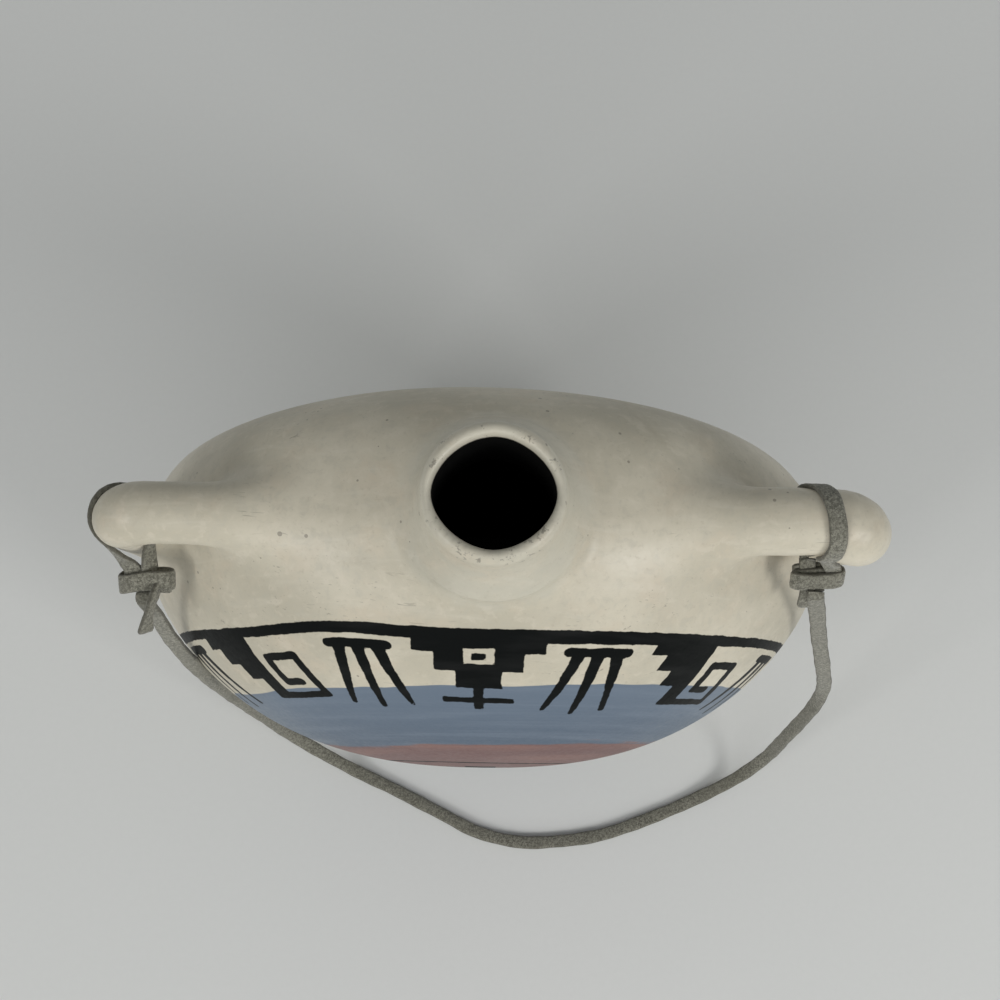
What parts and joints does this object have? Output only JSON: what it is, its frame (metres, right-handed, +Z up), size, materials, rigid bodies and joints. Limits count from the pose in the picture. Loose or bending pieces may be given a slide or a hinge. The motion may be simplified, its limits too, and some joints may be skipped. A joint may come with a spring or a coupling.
{
  "type": "clay canteen",
  "caption": "Round flattened clay canteen with a flared neck, ear handles on the shoulders and a tied suede carrying lace; it holds water and stands on a flat base.",
  "frame": {"origin": "on the table, under the middle of the clay's box", "axes": "+Z up along the neck, -Y out of the domed painted front, +X to the right when facing that front"},
  "size_m": [0.1875, 0.1213, 0.19],
  "materials": {
    "clay": "satin slip",
    "suede": "napped"
  },
  "bodies": {
    "canteen": {"front_shell": "clay", "back_shell": "clay", "neck": "clay", "left_handle": "clay", "right_handle": "clay", "left_tie_loop": "suede", "left_knot": "suede", "left_tail": "suede", "right_tie_loop": "suede", "right_knot": "suede", "right_tail": "suede"},
    "strap": {"strap_main": "suede"}
  },
  "joints": [
    {"name": "strap_swing", "type": "hinge", "parent": "canteen", "child": "strap", "pos_m": [-0.081, -0.00989, 0.14027], "axis": [-0.9995, -0.0177, -0.0247], "range_deg": [0, 156]}
  ]
}
